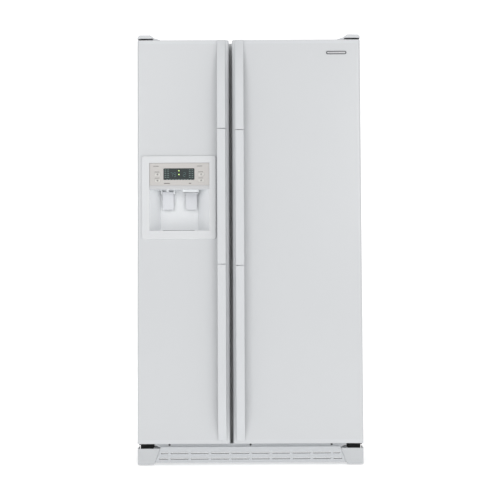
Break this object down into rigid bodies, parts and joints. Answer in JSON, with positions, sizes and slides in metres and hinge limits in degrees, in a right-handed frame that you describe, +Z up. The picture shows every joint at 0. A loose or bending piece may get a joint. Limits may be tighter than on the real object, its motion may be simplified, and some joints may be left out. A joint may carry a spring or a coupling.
{
  "type": "side by side refrigerator",
  "caption": "Free-standing side by side refrigerator with a freezer door dispenser, bow handles, shelves, drawers, door bins and a working rear machine space.",
  "frame": {"origin": "on the floor under the middle of the whole object", "axes": "+Z up, the doors face -Y, +X to the right when facing the doors"},
  "size_m": [0.912, 0.72, 1.752],
  "materials": {
    "white_steel": "gloss",
    "galvanised_steel": "satin",
    "dark_steel": "satin",
    "insulation": "matte",
    "liner_plastic": "satin",
    "trim_plastic": "satin",
    "panel_plastic": "satin",
    "display_plastic": "gloss",
    "seal_rubber": "matte",
    "foot_plastic": "matte",
    "clear_plastic": "gloss",
    "shelf_glass": "gloss",
    "coil_aluminium": "satin"
  },
  "bodies": {
    "cabinet": {"air_duct": "liner_plastic", "back_panel": "galvanised_steel", "base_frame": "galvanised_steel", "base_grille": "trim_plastic", "cabinet_foam": "insulation", "cabinet_shell": "white_steel", "compressor": "dark_steel", "condenser": "coil_aluminium", "door_hinges": "dark_steel", "drain_pan": "foot_plastic", "evaporator": "coil_aluminium", "evaporator_cover": "liner_plastic", "fan_shroud": "galvanised_steel", "freezer_liner": "liner_plastic", "fridge_liner": "liner_plastic", "hinge_covers": "trim_plastic", "ice_bucket": "clear_plastic", "ice_maker": "liner_plastic", "inlet_valve": "foot_plastic", "leg_covers": "trim_plastic", "machine_cover": "galvanised_steel", "mains_inlet": "foot_plastic", "shelf_panes": "shelf_glass", "shelf_rims": "liner_plastic"},
    "freezer_door": {"freezer_door_panel": "white_steel", "freezer_door_caps": "trim_plastic", "freezer_door_liner": "liner_plastic", "freezer_door_foam": "insulation", "freezer_gasket": "seal_rubber", "freezer_handle": "trim_plastic", "freezer_door_bins": "clear_plastic", "dispenser_housing": "trim_plastic", "control_panel": "panel_plastic", "display_lens": "display_plastic"},
    "fridge_door": {"fridge_door_panel": "white_steel", "fridge_door_caps": "trim_plastic", "fridge_door_liner": "liner_plastic", "fridge_door_foam": "insulation", "fridge_gasket": "seal_rubber", "fridge_handle": "trim_plastic", "fridge_door_bins": "clear_plastic"},
    "water_lever": {"water_lever": "trim_plastic"},
    "ice_lever": {"ice_lever": "trim_plastic"},
    "chute_flap": {"chute_flap": "seal_rubber"},
    "button_1": {"button_1": "panel_plastic"},
    "button_2": {"button_2": "panel_plastic"},
    "button_3": {"button_3": "panel_plastic"},
    "button_4": {"button_4": "panel_plastic"},
    "dairy_cover": {"dairy_cover": "clear_plastic"},
    "condenser_fan": {"condenser_fan": "foot_plastic"},
    "evaporator_fan": {"evaporator_fan": "foot_plastic"},
    "ice_auger": {"ice_auger": "foot_plastic"},
    "freezer_drawer_lower": {"freezer_drawer_lower": "clear_plastic"},
    "freezer_drawer_upper": {"freezer_drawer_upper": "clear_plastic"},
    "crisper_lower": {"crisper_lower": "clear_plastic"},
    "crisper_upper": {"crisper_upper": "clear_plastic"},
    "roller_left": {"roller_left": "seal_rubber"},
    "roller_right": {"roller_right": "seal_rubber"},
    "foot_left": {"foot_left": "foot_plastic"},
    "foot_right": {"foot_right": "foot_plastic"}
  },
  "joints": [
    {"name": "freezer_door_hinge", "type": "hinge", "parent": "cabinet", "child": "freezer_door", "pos_m": [-0.438, -0.28, 0.9], "axis": [0, 0, -1], "range_deg": [0, 125]},
    {"name": "fridge_door_hinge", "type": "hinge", "parent": "cabinet", "child": "fridge_door", "pos_m": [0.438, -0.28, 0.9], "axis": [0, 0, 1], "range_deg": [0, 125]},
    {"name": "button_1_press", "type": "slide", "parent": "freezer_door", "child": "button_1", "axis": [0, 1, 0], "range_m": [0, 0.001], "stiffness_N_per_m": 300},
    {"name": "button_2_press", "type": "slide", "parent": "freezer_door", "child": "button_2", "axis": [0, 1, 0], "range_m": [0, 0.001], "stiffness_N_per_m": 300},
    {"name": "button_3_press", "type": "slide", "parent": "freezer_door", "child": "button_3", "axis": [0, 1, 0], "range_m": [0, 0.001], "stiffness_N_per_m": 300},
    {"name": "button_4_press", "type": "slide", "parent": "freezer_door", "child": "button_4", "axis": [0, 1, 0], "range_m": [0, 0.001], "stiffness_N_per_m": 300},
    {"name": "water_lever_press", "type": "hinge", "parent": "freezer_door", "child": "water_lever", "pos_m": [-0.336, -0.256, 1.11], "axis": [1, 0, 0], "range_deg": [0, 8], "stiffness_Nm_per_rad": 0.4},
    {"name": "ice_lever_press", "type": "hinge", "parent": "freezer_door", "child": "ice_lever", "pos_m": [-0.24, -0.256, 1.11], "axis": [1, 0, 0], "range_deg": [0, 8], "stiffness_Nm_per_rad": 0.4},
    {"name": "chute_flap_swing", "type": "hinge", "parent": "freezer_door", "child": "chute_flap", "pos_m": [-0.24, -0.27254, 1.179], "axis": [-1, 0, 0], "range_deg": [0, 64]},
    {"name": "dairy_cover_lift", "type": "hinge", "parent": "fridge_door", "child": "dairy_cover", "pos_m": [0.18438, -0.24, 1.58], "axis": [1, 0, 0], "range_deg": [0, 60]},
    {"name": "condenser_fan_spin", "type": "hinge", "parent": "cabinet", "child": "condenser_fan", "pos_m": [-0.084, 0.245, 0.146], "axis": [1, 0, 0], "continuous": true},
    {"name": "evaporator_fan_spin", "type": "hinge", "parent": "cabinet", "child": "evaporator_fan", "pos_m": [-0.25575, 0.239, 1.09], "axis": [0, 1, 0], "continuous": true},
    {"name": "ice_auger_spin", "type": "hinge", "parent": "cabinet", "child": "ice_auger", "pos_m": [-0.24, 0, 1.336], "axis": [0, 1, 0], "continuous": true},
    {"name": "freezer_drawer_lower_pull", "type": "slide", "parent": "cabinet", "child": "freezer_drawer_lower", "axis": [0, -1, 0], "range_m": [0, 0.06]},
    {"name": "freezer_drawer_upper_pull", "type": "slide", "parent": "cabinet", "child": "freezer_drawer_upper", "axis": [0, -1, 0], "range_m": [0, 0.06]},
    {"name": "crisper_lower_pull", "type": "slide", "parent": "cabinet", "child": "crisper_lower", "axis": [0, -1, 0], "range_m": [0, 0.06]},
    {"name": "crisper_upper_pull", "type": "slide", "parent": "cabinet", "child": "crisper_upper", "axis": [0, -1, 0], "range_m": [0, 0.06]},
    {"name": "roller_left_spin", "type": "hinge", "parent": "cabinet", "child": "roller_left", "pos_m": [-0.422, 0.29, 0.022], "axis": [1, 0, 0], "continuous": true},
    {"name": "roller_right_spin", "type": "hinge", "parent": "cabinet", "child": "roller_right", "pos_m": [0.422, 0.29, 0.022], "axis": [1, 0, 0], "continuous": true},
    {"name": "foot_left_extend", "type": "slide", "parent": "cabinet", "child": "foot_left", "axis": [0, 0, -1], "range_m": [0, 0.012]},
    {"name": "foot_right_extend", "type": "slide", "parent": "cabinet", "child": "foot_right", "axis": [0, 0, -1], "range_m": [0, 0.012]}
  ],
  "couplings": [
    {"joint": "chute_flap_swing", "follows": "ice_lever_press", "ratio": 8}
  ]
}
